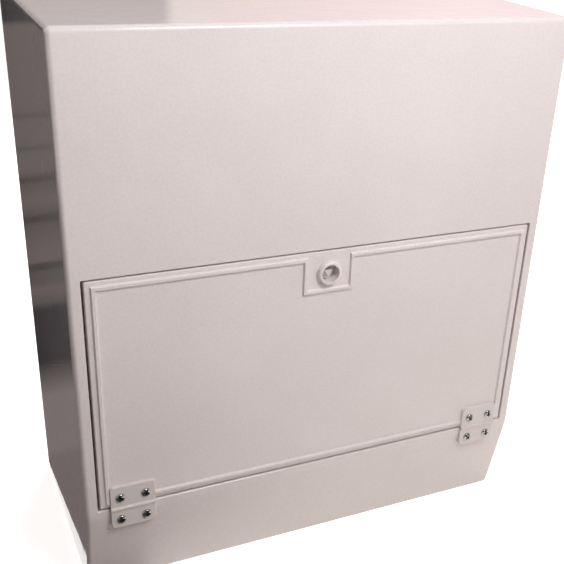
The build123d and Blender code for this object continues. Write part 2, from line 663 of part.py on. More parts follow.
with BuildPart() as bracket_bolts:
    with BuildSketch(upright(PANEL_BACK_Y)):
        with Locations(*bolt_places()):
            RegularPolygon(BOLT_FLATS / 2, 6, major_radius=False)
    extrude(amount=-BOLT_HEAD_HEIGHT)
    with BuildSketch(upright(PANEL_BACK_Y)):
        with Locations(*bolt_places()):
            Circle(BOLT_RADIUS)
    extrude(amount=PANEL_THICKNESS + BRACKET_THICKNESS + BOLT_NUT_THICKNESS + THREAD_END)
bracket_bolts.part.label = "bracket_bolts"

pieces = [
    box_shell.part,
    door_panel.part,
    lock_barrel.part,
    lock_nut.part,
    lock_key_post.part,
    lock_cam.part,
    pan_screw(
        "lock_cam_screw",
        [(0, LOCK_HEIGHT)],
        CAM_BACK_Y,
        CAM_SCREW_LENGTH,
        CAM_SCREW_RADIUS,
        CAM_SCREW_HEAD_RADIUS,
        CAM_SCREW_HEAD_HEIGHT,
        back=True,
    ),
    pan_screw(
        "hinge_door_screws",
        hinge_screw_places(HINGE_SCREW_RISE),
        LEAF_FRONT_Y,
        LEAF_THICKNESS + DOOR_SKIN + NUT_THICKNESS + THREAD_END,
        SCREW_RADIUS,
        SCREW_HEAD_RADIUS,
        SCREW_HEAD_HEIGHT,
    ),
    pan_screw(
        "hinge_box_screws",
        hinge_screw_places(-HINGE_SCREW_RISE),
        LEAF_FRONT_Y,
        LEAF_THICKNESS + PAD_BACK + NUT_THICKNESS + THREAD_END,
        SCREW_RADIUS,
        SCREW_HEAD_RADIUS,
        SCREW_HEAD_HEIGHT,
    ),
    hex_nuts(
        "hinge_door_nuts",
        hinge_screw_places(HINGE_SCREW_RISE),
        FRONT_Y + DOOR_SKIN,
        NUT_FLATS,
        NUT_THICKNESS,
        SCREW_RADIUS + NUT_BORE_GAP,
    ),
    hex_nuts(
        "hinge_box_nuts",
        hinge_screw_places(-HINGE_SCREW_RISE),
        FRONT_Y + PAD_BACK,
        NUT_FLATS,
        NUT_THICKNESS,
        SCREW_RADIUS + NUT_BORE_GAP,
    ),
    back_panel.part,
    pan_screw(
        "back_panel_screws",
        lug_screw_places(),
        PANEL_BACK_Y,
        PANEL_SCREW_LENGTH + PANEL_THICKNESS - PANEL_SCREW_TIP_GAP,
        PANEL_SCREW_RADIUS,
        PANEL_SCREW_HEAD_RADIUS,
        PANEL_SCREW_HEAD_HEIGHT,
        back=True,
    ),
    outlet_bush.part,
    meter_bracket.part,
    bracket_bolts.part,
    hex_nuts(
        "bracket_nuts",
        bolt_places(),
        PANEL_FRONT_Y - BRACKET_THICKNESS - BOLT_NUT_THICKNESS,
        BOLT_FLATS,
        BOLT_NUT_THICKNESS,
        BOLT_RADIUS + NUT_BORE_GAP,
    ),
]
for side_name, side in HINGE_SIDES.items():
    pieces += hinge(side_name, side)

os.makedirs("parts", exist_ok=True)
for piece in pieces:
    export_step(piece, f"parts/{piece.label}.step")
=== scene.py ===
"""Gas meter box: the finishes of its pieces, its screws in detail, and a plain studio round it."""

import math

import bpy
import numpy as np
from mathutils import Matrix, Vector


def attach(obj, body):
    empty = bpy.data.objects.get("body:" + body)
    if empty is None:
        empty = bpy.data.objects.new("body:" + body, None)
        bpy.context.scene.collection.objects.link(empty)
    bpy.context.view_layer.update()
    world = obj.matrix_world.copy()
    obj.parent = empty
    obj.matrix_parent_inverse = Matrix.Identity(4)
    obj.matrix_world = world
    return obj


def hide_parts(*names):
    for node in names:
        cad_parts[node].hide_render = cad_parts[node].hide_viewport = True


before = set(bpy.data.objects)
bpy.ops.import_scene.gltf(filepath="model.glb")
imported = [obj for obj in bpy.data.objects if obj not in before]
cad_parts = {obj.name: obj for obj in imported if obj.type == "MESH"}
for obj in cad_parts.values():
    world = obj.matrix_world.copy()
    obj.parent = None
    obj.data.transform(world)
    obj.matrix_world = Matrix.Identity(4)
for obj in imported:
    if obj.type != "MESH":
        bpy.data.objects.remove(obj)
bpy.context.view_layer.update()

# The shell
# One off-white moulding of glass-reinforced plastic, pressed in a heated tool. Its front has a fine
# satin grain, its sides and roof a clear gel coat, and the fibres make it all very slightly wavy.
SHELL_COLOUR = (0.828, 0.748, 0.726)
SHELL_SHADE = (0.764, 0.684, 0.660)     # the darker of its faint clouds and specks
SATIN_ROUGHNESS = 0.52
GLOSS_ROUGHNESS = 0.06
COAT_ROUGHNESS = 0.03
FRONT_EDGES = (0.80, 0.97)              # how squarely a face looks forward, from gloss to satin
CLOUDS_PER_METRE = 7
CLOUD_EDGES = (0.32, 0.68)              # the noise at which they are all dark and all light
CLOUD_ROUGHNESS = 0.06                  # more on the lightest than on the darkest
SPECKS_PER_METRE = 380
SPECK_EDGES = (0.38, 0.62)
WAVES_PER_METRE = 14
WAVE_HEIGHT = 0.0016
GRAIN_PER_METRE = 900
GRAIN_HEIGHT = 0.00006
SIDE_GRAIN = 0.15                       # its height under the gel coat, as a share of the front's


class Wire:
    """A node's output. Operators on it add Math nodes, and make() adds any other node."""

    def __init__(self, tree, socket=None):
        self.tree = tree
        self.socket = socket

    def make(self, kind, settings=None, sockets=None, output=0):
        """Add a node: its settings first, then the values or links of its sockets."""
        node = self.tree.nodes.new(kind)
        for name, value in (settings or {}).items():
            if name == "stops":
                ramp = node.color_ramp
                while len(ramp.elements) < len(value):
                    ramp.elements.new(1.0)
                for element, (place, colour) in zip(ramp.elements, value):
                    element.position = place
                    element.color = (*colour, 1.0)
            else:
                setattr(node, name, value)
        for name, value in (sockets or {}).items():
            if isinstance(value, Wire):
                self.tree.links.new(value.socket, node.inputs[name])
            elif isinstance(value, tuple) and len(value) == 3 and node.inputs[name].type == "RGBA":
                node.inputs[name].default_value = (*value, 1.0)
            else:
                node.inputs[name].default_value = value
        return Wire(self.tree, node.outputs[output] if len(node.outputs) else None)

    def maths(self, operation, *values):
        settings = {"operation": operation}
        return self.make("ShaderNodeMath", settings, dict(enumerate(values)))

    def __add__(self, other):
        return self.maths("ADD", self, other)

    def __radd__(self, other):
        return self.maths("ADD", other, self)

    def __sub__(self, other):
        return self.maths("SUBTRACT", self, other)

    def __rsub__(self, other):
        return self.maths("SUBTRACT", other, self)

    def __mul__(self, other):
        return self.maths("MULTIPLY", self, other)

    def __rmul__(self, other):
        return self.maths("MULTIPLY", other, self)

    def __neg__(self):
        return self.maths("MULTIPLY", self, -1.0)

    def between(self, low, high):
        """0 below low, 1 above high and a smooth step between them."""
        settings = {"interpolation_type": "SMOOTHSTEP"}
        return self.make("ShaderNodeMapRange", settings, {0: self, 1: low, 2: high})

    def tint(self, first, second):
        """The first colour where the wire is 0 and the second where it is 1."""
        return self.make("ShaderNodeMix", {"data_type": "RGBA"}, {0: self, 6: first, 7: second}, 2)


def new_material(name):
    """An empty material, and a Wire that adds nodes to it."""
    made = bpy.data.materials.new(name)
    made.use_nodes = True
    made.node_tree.nodes.clear()
    return made, Wire(made.node_tree)


def finish_with(wires, sockets):
    """The material's one Principled shader, with these sockets, and its output."""
    shader = wires.make("ShaderNodeBsdfPrincipled", None, sockets)
    wires.make("ShaderNodeOutputMaterial", None, {"Surface": shader})


def noise(wires, per_metre, detail=2.0, rough=0.5, grain=(1, 1, 1), turn=0.0):
    """Grey noise about 0.5 on the object's own coordinates. Its grains are longer by a factor along
    each of X, Y and Z, once these have been turned about Y."""
    place = wires.make("ShaderNodeTexCoord", None, None, 3)
    sockets = {"Vector": place, "Scale": grain, "Rotation": (0.0, turn, 0.0)}
    place = wires.make("ShaderNodeMapping", {"vector_type": "TEXTURE"}, sockets)
    sockets = {"Vector": place, "Scale": per_metre, "Detail": detail, "Roughness": rough}
    return wires.make("ShaderNodeTexNoise", None, sockets)


def facing(wires, axis):
    """How far the surface faces along an axis of the object: -1 away from it, 1 along it."""
    normal = wires.make("ShaderNodeTexCoord", None, None, 1)
    return wires.make("ShaderNodeSeparateXYZ", None, {0: normal}, axis)


def bumps(wires, height, metres, normal=None):
    """Normals of a relief whose height of 1 is so many metres, on top of any other normals."""
    sockets = {"Height": height, "Distance": metres, "Strength": 1.0}
    if normal is not None:
        sockets["Normal"] = normal
    return wires.make("ShaderNodeBump", None, sockets)


def moulded(name, side_roughness, coat):
    """Glass-reinforced moulding: faint clouds and specks, a satin grain on its front, and elsewhere
    a roughness of its own and a clear coat."""
    made, wires = new_material(name)
    front = (-facing(wires, 1)).between(*FRONT_EDGES)
    clouds = noise(wires, CLOUDS_PER_METRE, detail=4.0, rough=0.55).between(*CLOUD_EDGES)
    specks = noise(wires, SPECKS_PER_METRE, rough=0.6).between(*SPECK_EDGES)
    grain = noise(wires, GRAIN_PER_METRE, rough=0.6)
    relief = bumps(wires, noise(wires, WAVES_PER_METRE), WAVE_HEIGHT)
    relief = bumps(wires, grain * (SIDE_GRAIN + (1 - SIDE_GRAIN) * front), GRAIN_HEIGHT, relief)
    rough = side_roughness + (SATIN_ROUGHNESS - side_roughness) * front
    finish_with(
        wires,
        {
            "Base Color": (0.5 * clouds + 0.5 * specks).tint(SHELL_SHADE, SHELL_COLOUR),
            "Roughness": rough + CLOUD_ROUGHNESS * (clouds - 0.5),
            "Coat Weight": coat * (1 - front),
            "Coat Roughness": COAT_ROUGHNESS,
            "Normal": relief,
        },
    )
    return made


def dress(material, *names):
    """Give CAD nodes a material, in every slot that they have."""
    for name in names:
        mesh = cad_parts[name].data
        if not mesh.materials:
            mesh.materials.append(material)
        for slot in range(len(mesh.materials)):
            mesh.materials[slot] = material


dress(moulded("shell_moulding", GLOSS_ROUGHNESS, 1.0), "box_shell")

# The back panel
# A flat sheet of the same plastic without its gel coat, cut to size and screwed to the shell's
# lugs. Its chopped fibres show through as short pale threads.
PANEL_COLOUR = (0.56, 0.535, 0.50)
PANEL_FIBRE = (0.68, 0.655, 0.62)
PANEL_ROUGHNESS = 0.62
FIBRE_ROUGHNESS = -0.12                     # what a fibre adds to it
FIBRE_HEIGHT = 0.0001
FIBRES_PER_METRE = 420
FIBRE_GRAIN = (9.0, 3.0, 1.0)               # long and narrow
FIBRE_TURNS = (0.3, 0.95, 1.5, 2.2, 2.75)   # the ways that they lie, in radians
FIBRE_EDGES = (0.52, 0.74)                  # the noise at which a fibre begins and is full


def fibred(name, resin, fibre):
    """Uncoated moulding: short pale fibres that lie all ways in a darker resin."""
    made, wires = new_material(name)
    ways = [
        noise(wires, FIBRES_PER_METRE, detail=3.0, rough=0.6, grain=FIBRE_GRAIN, turn=turn)
        for turn in FIBRE_TURNS
    ]
    ways = [way.between(*FIBRE_EDGES) for way in ways]
    threads = wires.maths("MINIMUM", sum(ways[1:], ways[0]), 1.0)
    finish_with(
        wires,
        {
            "Base Color": threads.tint(resin, fibre),
            "Roughness": PANEL_ROUGHNESS + FIBRE_ROUGHNESS * threads,
            "Normal": bumps(wires, threads, FIBRE_HEIGHT),
        },
    )
    return made


dress(fibred("panel_sheet", PANEL_COLOUR, PANEL_FIBRE), "back_panel")

# The meter bracket and the small fixings
# The bracket is bent from galvanised sheet, with the spangle of its zinc, and is bolted to the back
# panel. The lock's cam is cut from the same sheet. Nuts, bolts and pins are zinc plated.
ZINC_LIGHT = (0.62, 0.63, 0.64)
ZINC_DARK = (0.42, 0.43, 0.45)
ZINC_METALLIC = 0.9
ZINC_ROUGHNESS = 0.34
CRYSTALS_PER_METRE = 160.0
CRYSTAL_ROUGHNESS = 0.16                # what the lightest crystal adds to it
DIMPLES_PER_METRE = 400
DIMPLE_HEIGHT = 0.00003
PLATED = (0.58, 0.575, 0.56)
PLATED_ROUGHNESS = 0.3
WEAR_PER_METRE = 300
WEAR_SHADE = 0.82                       # the brightness of the most worn plating
WEAR_ROUGHNESS = 0.18                   # from the most worn to the least
LINES_PER_METRE = 900
LINE_GRAIN = (5, 1, 1)                  # long along X
LINE_HEIGHT = 0.00001
# Painted shade: the near-black colour given to a screw's recess, where shade falls
RECESS_SHADE = (0.012, 0.011, 0.010)
RECESS_SHADE_ROUGHNESS = 0.6                    # what the recess's painted shade adds to the roughness


def galvanised(name, light, dark):
    """Zinc-coated sheet: flat crystals of differing brightness, a few millimetres across."""
    made, wires = new_material(name)
    place = wires.make("ShaderNodeTexCoord", None, None, 3)
    sockets = {"Vector": place, "Scale": CRYSTALS_PER_METRE}
    cells = wires.make("ShaderNodeTexVoronoi", {"feature": "F1"}, sockets, 1)
    crystal = wires.make("ShaderNodeSeparateColor", None, {0: cells}, 0)
    finish_with(
        wires,
        {
            "Base Color": crystal.tint(dark, light),
            "Metallic": ZINC_METALLIC,
            "Roughness": ZINC_ROUGHNESS + CRYSTAL_ROUGHNESS * crystal,
            "Normal": bumps(wires, noise(wires, DIMPLES_PER_METRE), DIMPLE_HEIGHT),
        },
    )
    return made


def plated(name, colour, roughness):
    """Bright steel, plated or stainless: fine turning lines, light wear, and painted shade in a
    screw's recess, near black and dull."""
    made, wires = new_material(name)
    wear = noise(wires, WEAR_PER_METRE, detail=3.0, rough=0.6)
    # 1 in a screw's recess, where painted shade darkens the steel and takes its metal away
    recess_shade = wires.make("ShaderNodeAttribute", {"attribute_name": "recess"}, None, 2)
    plating = wear.tint(tuple(WEAR_SHADE * part for part in colour), colour)
    lines = noise(wires, LINES_PER_METRE, detail=1.0, grain=LINE_GRAIN)
    finish_with(
        wires,
        {
            "Base Color": recess_shade.tint(plating, RECESS_SHADE),
            "Metallic": 1.0 - recess_shade,
            "Roughness": roughness + WEAR_ROUGHNESS * (wear - 0.5) + RECESS_SHADE_ROUGHNESS * recess_shade,
            "Normal": bumps(wires, lines, LINE_HEIGHT),
        },
    )
    return made


dress(galvanised("galvanised_sheet", ZINC_LIGHT, ZINC_DARK), "meter_bracket", "lock_cam")
dress(
    plated("zinc_plate", PLATED, PLATED_ROUGHNESS),
    "bracket_bolts",
    "bracket_nuts",
    "hinge_door_nuts",
    "hinge_box_nuts",
    "hinge_left_pin",
    "hinge_right_pin",
)

# The screws
# Domed heads with a cross recess, on threaded shanks. Six hold the back panel to the shell and one
# holds the cam, all zinc plated. Four through each row of hinge leaves are of stainless steel.
DOME_POWER = 2.54           # makes the dome fuller than an ellipse
RECESS_ARM = 0.64           # reach of the cross, as a share of the head's radius
RECESS_FLOOR = 0.92         # its depth, as a share of the head's height
RECESS_NARROWING = 0.50     # its floor, as a share of its mouth
BAR_SLOPE = math.tan(math.radians(18))      # half a bar's width, as a share of its reach
THREAD_PITCH = 0.0008
THREAD_DEPTH = 0.0004
TIP_SHARE = 0.8             # the flat tip's radius, as a share of the shank's
TURN_COLUMNS = 96
FLOOR_ROWS = (0.0, 0.35, 0.7, 1.0)          # shares of the way from the floor's middle to its wall
WALL_ROWS = 5
DOME_ROWS = 13
PITCH_ROWS = 6              # in each pitch of the thread
SHARP_EDGE = math.radians(38)
TURNS = (0.35, 1.2, 0.8, 0.1, 1.0, 0.5)     # how each screw of a row happened to stop, in radians
PANEL_SCREW = (0.0021, 0.021, 0.0042, 0.0026)           # shank radius, length, head radius, height
PANEL_SCREW_SEAT = 0.11515                  # Y of the face that the heads stand on
PANEL_SCREW_PLACES = [(x, z) for x in (-0.243355, 0.243355) for z in (0.04, 0.29, 0.54)]
CAM_SCREW = (0.002, 0.009, 0.0055, 0.0022)
CAM_SCREW_SEAT = -0.09745
CAM_SCREW_PLACES = [(0.0, 0.3355)]
DOOR_SCREW = (0.0025, 0.0125, 0.0048, 0.0028)
BOX_SCREW = (0.0025, 0.019, 0.0048, 0.0028)
HINGE_SCREW_SEAT = -0.12435
HINGE_SCREW_X = (-0.2161, -0.1909, 0.1909, 0.2161)
DOOR_SCREW_PLACES = [(x, 0.12475) for x in HINGE_SCREW_X]
BOX_SCREW_PLACES = [(x, 0.09875) for x in HINGE_SCREW_X]
SCREW_STEEL = (0.42, 0.405, 0.395)
STEEL_ROUGHNESS = 0.14


def screw_profile(shank, length, head, height):
    """The turn of each grid column, each row's radius and height there, and 1 in the recess.

    The rows go from the middle of the recess's floor to the screw's tip. The dome's height is the
    head's, times one less the radius's share to a power, to the inverse power. The cross is, by
    angle, the longer reach of two crossed bars with square ends. Its walls lean out from its floor
    to the dome, where the rows change from the cross to a circle. On the shank the radius is a
    cosine of depth plus turn, which makes a helical thread that fades in under the head.
    """
    turn = np.arange(TURN_COLUMNS) * 2 * math.pi / TURN_COLUMNS
    arm = RECESS_ARM * head
    across, along = (np.maximum(np.abs(part), 1e-6) for part in (np.cos(turn), np.sin(turn)))
    bar = np.minimum(arm / across, arm * BAR_SLOPE / along)
    cross = np.maximum(bar, np.minimum(arm / along, arm * BAR_SLOPE / across))[None]

    def dome(radius):
        share = np.clip(1 - (radius / head) ** DOME_POWER, 0, 1)
        return height * share ** (1 / DOME_POWER)

    floor_radius = np.array(FLOOR_ROWS)[:, None] * RECESS_NARROWING * cross
    floor_height = np.full_like(floor_radius, height * (1 - RECESS_FLOOR))
    rise = np.linspace(0, 1, WALL_ROWS + 1)[1:, None]
    wall_radius = (RECESS_NARROWING + (1 - RECESS_NARROWING) * rise) * cross
    wall_height = floor_height[-1:] * (1 - rise) + dome(cross) * rise
    spread = np.sin(np.linspace(0, math.pi / 2, DOME_ROWS + 1))[1:, None]
    dome_radius = cross + (head - cross) * spread
    depth = np.arange(0, length - shank / 2, THREAD_PITCH / PITCH_ROWS)[:, None]
    wave = 0.5 + 0.5 * np.cos(2 * math.pi * depth / THREAD_PITCH + turn)
    thread = shank - THREAD_DEPTH * wave * np.clip(depth / THREAD_PITCH - 1, 0, 1)
    tip_radius = np.array([TIP_SHARE, 0.0])[:, None] * shank + 0 * turn
    radius = [floor_radius, wall_radius, dome_radius, thread, tip_radius]
    heights = [floor_height, wall_height, dome(dome_radius), 0 * thread - depth]
    heights = np.concatenate([*heights, 0 * tip_radius - length])
    sunk = np.arange(len(heights))[:, None] < len(floor_radius) + len(wall_radius) - 1 + 0 * turn
    return turn, np.concatenate(radius), heights, sunk


def closed_mesh(name, grids):
    """A mesh of closed surfaces: each grid's first and last rows are poles, and it joins round."""
    pieces, rows, columns = grids.shape[:3]
    rings = grids[:, 1:-1].reshape(pieces, -1, 3)
    places = np.concatenate([grids[:, 0, :1], rings, grids[:, -1, :1]], 1)
    number = 1 + np.arange((rows - 2) * columns).reshape(rows - 2, columns)
    beside = np.roll(number, -1, 1)
    last = rings.shape[1] + 1
    fans = np.concatenate(
        [
            np.stack([0 * number[0], number[0], beside[0]], -1),
            np.stack([number[-1], 0 * number[0] + last, beside[-1]], -1),
        ]
    )
    strips = np.stack([number[:-1], number[1:], beside[1:], beside[:-1]], -1).reshape(-1, 4)
    offset = (last + 1) * np.arange(pieces)[:, None, None]
    faces = (fans + offset).reshape(-1, 3).tolist() + (strips + offset).reshape(-1, 4).tolist()
    mesh = bpy.data.meshes.new(name)
    mesh.from_pydata(places.reshape(-1, 3).tolist(), [], faces)
    return mesh


def add_screws(node, material, slot, body, size, seat, places, towards):
    """Screws for a CAD node, at (x, z) places on the plane y = seat. Their heads face along Y, or
    against it where towards is -1."""
    turn, radius, height, sunk = screw_profile(*size)
    x, z = np.array(places).T[:, :, None, None]
    angle = turn + np.array(TURNS[: len(places)])[:, None, None]
    grids = [x + radius * np.cos(angle), seat + towards * height + 0 * angle]
    grids = np.stack([*grids, z - towards * radius * np.sin(angle)], -1)
    mesh = closed_mesh(node + "_detailed", grids)
    sunk = np.concatenate([sunk[:1, 0], sunk[1:-1].reshape(-1), sunk[-1:, 0]])
    recess = mesh.attributes.new("recess", "FLOAT", "POINT")
    recess.data.foreach_set("value", np.tile(sunk.astype(np.float32), len(places)))
    mesh.shade_smooth()
    mesh.set_sharp_from_angle(angle=SHARP_EDGE)
    mesh.materials.append(material)
    made = bpy.data.objects.new(node + "_detailed", mesh)
    bpy.context.scene.collection.objects.link(made)
    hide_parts(node)
    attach(made, body)


zinc = (plated("screw_zinc", PLATED, PLATED_ROUGHNESS), "zinc_steel")
panel_row = (PANEL_SCREW, PANEL_SCREW_SEAT, PANEL_SCREW_PLACES, 1)
cam_row = (CAM_SCREW, CAM_SCREW_SEAT, CAM_SCREW_PLACES, 1)
add_screws("back_panel_screws", *zinc, "box", *panel_row)
add_screws("lock_cam_screw", *zinc, "lock", *cam_row)

stainless = (plated("screw_stainless", SCREW_STEEL, STEEL_ROUGHNESS), "screw_steel")
door_row = (DOOR_SCREW, HINGE_SCREW_SEAT, DOOR_SCREW_PLACES, -1)
box_row = (BOX_SCREW, HINGE_SCREW_SEAT, BOX_SCREW_PLACES, -1)
add_screws("hinge_door_screws", *stainless, "door", *door_row)
add_screws("hinge_box_screws", *stainless, "box", *box_row)

# The outlet bush
# A black rubber-like bush pushed through the back panel, which keeps the outlet pipe off its edge.
# It is moulded in one piece.
BUSH_COLOUR = (0.035, 0.035, 0.036)
BUSH_ROUGHNESS = 0.6
MOTTLE_PER_METRE = 120
MOTTLE_SHADE = 0.94         # the brightness of its darkest part
MOTTLE_ROUGHNESS = 0.1      # from the darkest part to the lightest
SPARKS_PER_METRE = 1500
SPARK_HEIGHT = 0.00003


def plain_moulded(name, colour, roughness):
    """Injection-moulded plastic: one colour that varies very little, with a fine spark grain."""
    made, wires = new_material(name)
    mottle = noise(wires, MOTTLE_PER_METRE, detail=4.0, rough=0.6)
    finish_with(
        wires,
        {
            "Base Color": mottle.tint(tuple(MOTTLE_SHADE * part for part in colour), colour),
            "Roughness": roughness + MOTTLE_ROUGHNESS * (mottle - 0.5),
            "Normal": bumps(wires, noise(wires, SPARKS_PER_METRE), SPARK_HEIGHT),
        },
    )
    return made


dress(plain_moulded("bush_rubber", BUSH_COLOUR, BUSH_ROUGHNESS), "outlet_bush")

# The door
# A shallow tray pressed from the shell's plastic, satin in front, with a raised bead near its edge.
# It lies in the shell's rebate and swings down on two hinges.
dress(moulded("door_moulding", SATIN_ROUGHNESS, 0.0), "door_panel")

# The lock
# A white nylon barrel with a round boss, pushed through the door and held by a nut behind. The key
# post in its recess has three sides and turns the cam.
BARREL_COLOUR = (0.82, 0.745, 0.72)
BARREL_ROUGHNESS = 0.34
POST_COLOUR = (0.76, 0.69, 0.66)
POST_ROUGHNESS = 0.42
dress(plain_moulded("lock_nylon", BARREL_COLOUR, BARREL_ROUGHNESS), "lock_barrel", "lock_nut")
dress(plain_moulded("post_nylon", POST_COLOUR, POST_ROUGHNESS), "lock_key_post")

# The hinges
# Two moulded nylon leaves each, on a steel pin. The upper leaf is screwed to the door and the lower
# one, a wedge, to the foot of the shell.
LEAF_COLOUR = (0.76, 0.685, 0.645)
LEAF_ROUGHNESS = 0.42
dress(
    plain_moulded("hinge_nylon", LEAF_COLOUR, LEAF_ROUGHNESS),
    "hinge_left_door_leaf",
    "hinge_left_box_leaf",
    "hinge_right_door_leaf",
    "hinge_right_box_leaf",
)

# The floor
# A pale flat floor that carries the box's shadow. Seen straight it also has a brightness of its
# own, so that it meets the white background without an edge.
FLOOR_COLOUR = (0.90, 0.89, 0.82)
FLOOR_LIFT = 0.78
FLOOR_SIDES = (-6.0, 6.0)
STAGE_POINTS = 9            # along each side of a flat piece of the studio


def grid_mesh(name, places):
    """A mesh over a grid of places (rows, columns, 3)."""
    rows, columns = places.shape[:2]
    number = np.arange(rows * columns).reshape(rows, columns)
    corners = (number[:-1, :-1], number[1:, :-1], number[1:, 1:], number[:-1, 1:])
    faces = np.stack(corners, -1).reshape(-1, 4)
    mesh = bpy.data.meshes.new(name)
    mesh.from_pydata(places.reshape(-1, 3).tolist(), [], faces.tolist())
    return mesh


def rectangle(name, *sides):
    """A flat mesh. Of its sides along X, Y and Z, two go from a low to a high end, and the third
    is one place."""
    sides = [np.linspace(*side, STAGE_POINTS) if np.ndim(side) else side for side in sides]
    return grid_mesh(name, np.stack(np.meshgrid(*sides, indexing="ij"), -1).squeeze())


def seen_straight(wires):
    """1 where a camera, mirror or glass looks at the surface, and 0 where it lights others."""
    rays = ("ShaderNodeLightPath", None, None)
    camera, mirror, glass = (wires.make(*rays, output) for output in (0, 3, 6))
    return wires.maths("MAXIMUM", wires.maths("MAXIMUM", camera, mirror), glass)


def add_stage(name, mesh, material):
    """Show a mesh as part of the studio and not of the box."""
    made = bpy.data.objects.new(name, mesh)
    mesh.materials.append(material)
    bpy.context.scene.collection.objects.link(made)
    return made


pale, wires = new_material("pale_floor")
lit = wires.make("ShaderNodeBsdfDiffuse", None, {"Color": FLOOR_COLOUR})
lift = {"Color": (1.0, 1.0, 1.0), "Strength": FLOOR_LIFT * seen_straight(wires)}
lift = wires.make("ShaderNodeEmission", None, lift)
both = wires.make("ShaderNodeAddShader", None, {0: lit, 1: lift})
wires.make("ShaderNodeOutputMaterial", None, {"Surface": both})
add_stage("floor", rectangle("floor", FLOOR_SIDES, FLOOR_SIDES, 0.0), pale)

# The dark cloth, a painted reflection
# It lies on the floor in front of the box's left corner and beside it, and hangs behind it. It
# glows in bands of painted reflection, those of the glossy left side, and is seen only in what
# mirrors it; its glow also lights dull surfaces dimly.
CLOTH_LEFT = -1.6
CLOTH_FLAT = 0.001                      # above the floor
CLOTH_RIM = (                           # its right edge: X, Y and Z from the front to the top
    (-0.130, -0.900, CLOTH_FLAT),
    (-0.190, -0.105, CLOTH_FLAT),
    (-0.2605, -0.104, CLOTH_FLAT),
    (-0.2605, 0.135, CLOTH_FLAT),
    (-0.256, 0.135, CLOTH_FLAT),
    (-0.256, 0.135, 0.585),
)
# The colours of the painted reflection that the cloth glows with
REFLECTION_FOOT = (0.156, 0.123, 0.125)
REFLECTION_PALE = (0.188, 0.156, 0.152)
REFLECTION_BROWN = (0.118, 0.090, 0.090)
REFLECTION_DIM = (0.068, 0.062, 0.058)
REFLECTION_GREY = (0.035, 0.030, 0.030)
REFLECTION_BLACK = (0.005, 0.007, 0.009)
BANDS_TOP = 0.6
PAINTED_REFLECTION_BANDS = (                         # from the floor up, in metres
    (0.002, REFLECTION_FOOT),
    (0.015, REFLECTION_PALE),
    (0.095, REFLECTION_PALE),
    (0.145, REFLECTION_BLACK),
    (0.214, REFLECTION_BLACK),
    (0.224, REFLECTION_DIM),
    (0.240, REFLECTION_BROWN),
    (0.250, REFLECTION_DIM),
    (0.263, REFLECTION_DIM),
    (0.266, REFLECTION_GREY),
    (0.273, REFLECTION_GREY),
    (0.276, REFLECTION_BROWN),
    (0.290, REFLECTION_BROWN),
    (0.322, REFLECTION_DIM),
    (0.325, REFLECTION_GREY),
    (0.331, REFLECTION_GREY),
    (0.335, REFLECTION_DIM),
    (0.350, REFLECTION_BROWN),
    (0.371, REFLECTION_DIM),
    (0.374, REFLECTION_GREY),
    (0.379, REFLECTION_DIM),
    (0.385, REFLECTION_BROWN),
    (0.405, REFLECTION_BROWN),
    (0.410, REFLECTION_DIM),
    (0.416, REFLECTION_BROWN),
    (0.441, REFLECTION_BROWN),
    (0.446, REFLECTION_DIM),
    (0.452, REFLECTION_BROWN),
    (0.539, REFLECTION_BROWN),
    (0.546, REFLECTION_BLACK),
)


def glowing(name, axis, top, bands, strength):
    """A material that shines in bands, which lie across one axis of the object. Their places and
    their top are in metres."""
    made, wires = new_material(name)
    place = wires.make("ShaderNodeTexCoord", None, None, 3)
    share = wires.make("ShaderNodeSeparateXYZ", None, {0: place}, axis) * (1 / top)
    stops = [(metres / top, colour) for metres, colour in bands]
    colour = wires.make("ShaderNodeValToRGB", {"stops": stops}, {0: share})
    light = wires.make("ShaderNodeEmission", None, {"Color": colour, "Strength": strength})
    wires.make("ShaderNodeOutputMaterial", None, {"Surface": light})
    return made


def add_mirrored(name, mesh, material, on_dull=False):
    """Add a piece of the studio that the camera doesn't see. It shows in glossy surfaces, and dull
    ones take its light only where on_dull says so."""
    made = add_stage(name, mesh, material)
    made.visible_camera = False
    made.visible_diffuse = on_dull
    made.visible_shadow = False


# Each row of its grid runs level from the left edge to a place on the rim.
rim = np.array(CLOTH_RIM)[:, None]
share = np.linspace(0.0, 1.0, STAGE_POINTS)[None]
x = CLOTH_LEFT + (rim[..., 0] - CLOTH_LEFT) * share
places = np.stack([x, rim[..., 1] + 0 * x, rim[..., 2] + 0 * x], -1)
# The cloth glows with the painted reflection bands of the glossy left side
dark = glowing("painted_reflection_cloth", 2, BANDS_TOP, PAINTED_REFLECTION_BANDS, 1.0)
add_mirrored("cloth", grid_mesh("cloth", places), dark, on_dull=True)

# The dark card and the dark wall
# The card lies on the floor in front of the box's left half, and the wall stands far in front of
# it. The screws of the hinges mirror them.
CARD_X = (-1.2, -0.03)
CARD_Y = (-1.1, -0.145)
CARD_Z = 0.002                          # just over the cloth
CARD_COLOUR = (0.10, 0.096, 0.095)
WALL_X = (-3.0, 3.0)
WALL_Y = -1.8
WALL_Z = (0.0, 3.5)
WALL_COLOUR = (0.06, 0.057, 0.056)


def evenly(colour):
    """Bands of one colour, with which a dark piece sheds its little light as the cloth does."""
    return ((0.0, colour), (1.0, colour))


dark = glowing("dark_card", 2, 1.0, evenly(CARD_COLOUR), 1.0)
add_mirrored("card", rectangle("card", CARD_X, CARD_Y, CARD_Z), dark)
dark = glowing("dark_wall", 2, 1.0, evenly(WALL_COLOUR), 1.0)
add_mirrored("wall", rectangle("wall", WALL_X, WALL_Y, WALL_Z), dark)

